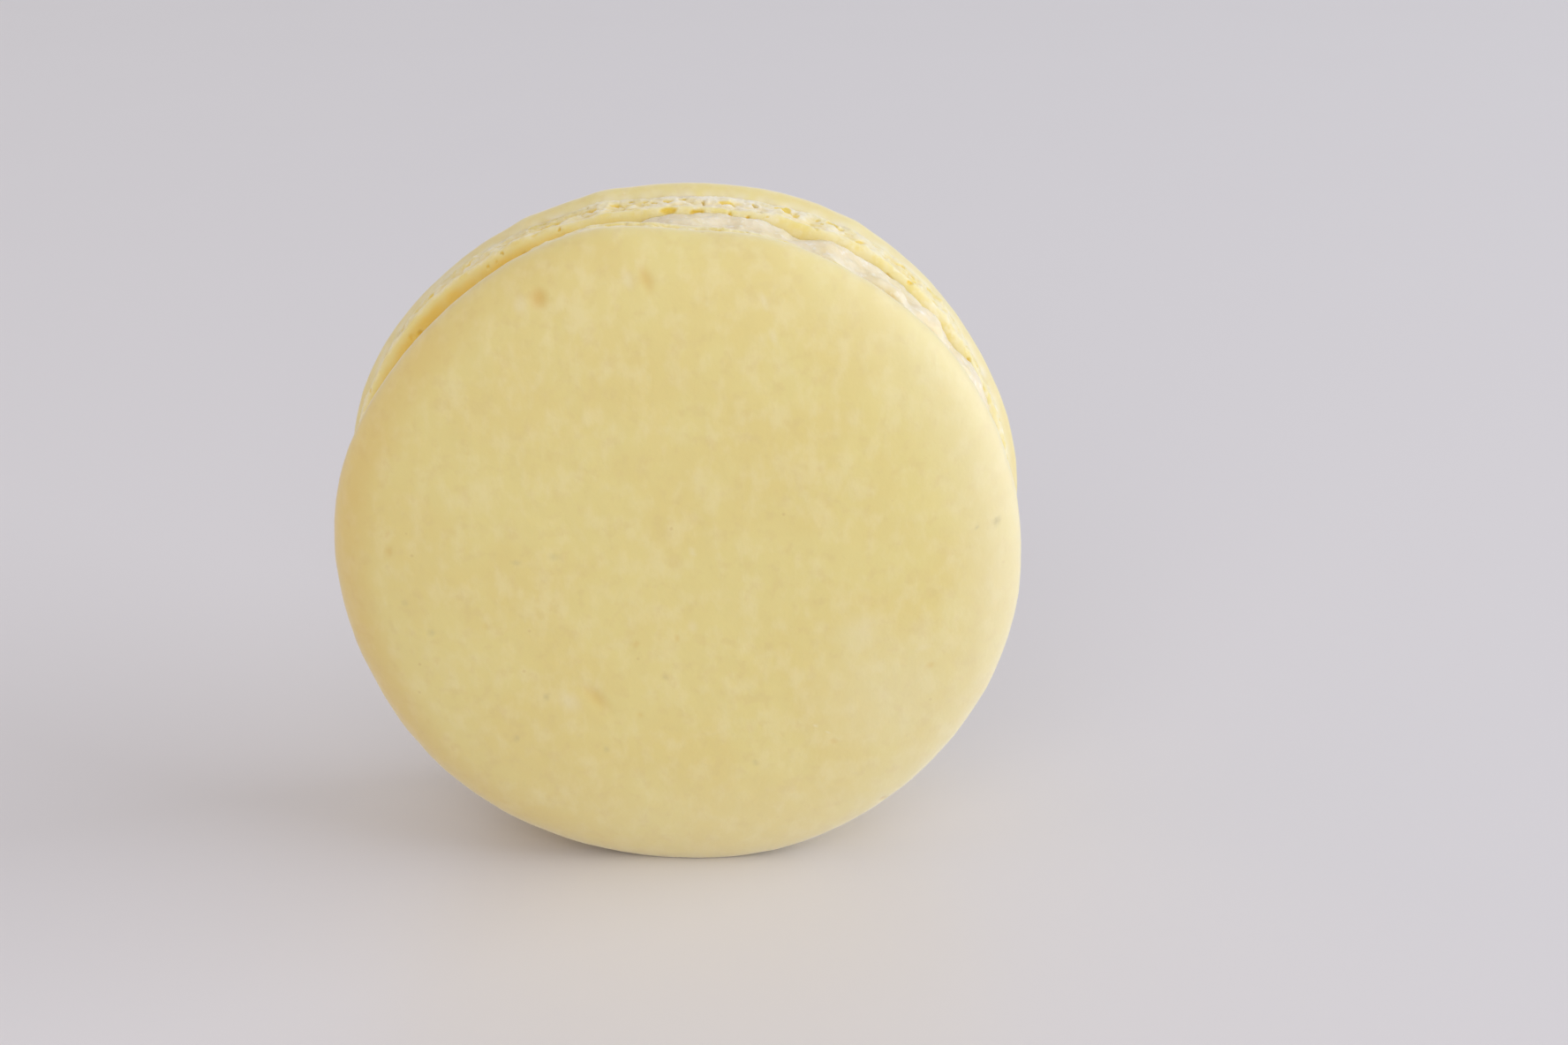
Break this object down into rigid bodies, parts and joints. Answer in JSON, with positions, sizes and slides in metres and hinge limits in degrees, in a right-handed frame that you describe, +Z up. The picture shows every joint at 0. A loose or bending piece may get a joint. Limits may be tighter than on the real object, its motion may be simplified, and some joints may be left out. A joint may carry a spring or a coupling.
{
  "type": "french macaron",
  "caption": "Pale yellow French macaron standing on its edge: smooth domed almond shells with crumbly feet, joined by white cream",
  "frame": {"origin": "on the table, straight below the middle of the macaron's box", "axes": "+Z up, the macaron's round axis along Y, the front shell's dome towards -Y, +X to the right when it is seen from the front"},
  "size_m": [0.0466, 0.021, 0.0444],
  "materials": {
    "biscuit": "baked almond meringue, pale yellow satin skin, cream-coloured crumbly foot",
    "cream": "whipped white cream, soft and lumpy"
  },
  "bodies": {
    "root": {"front_shell": "biscuit", "filling": "cream", "back_shell": "biscuit"}
  },
  "joints": []
}
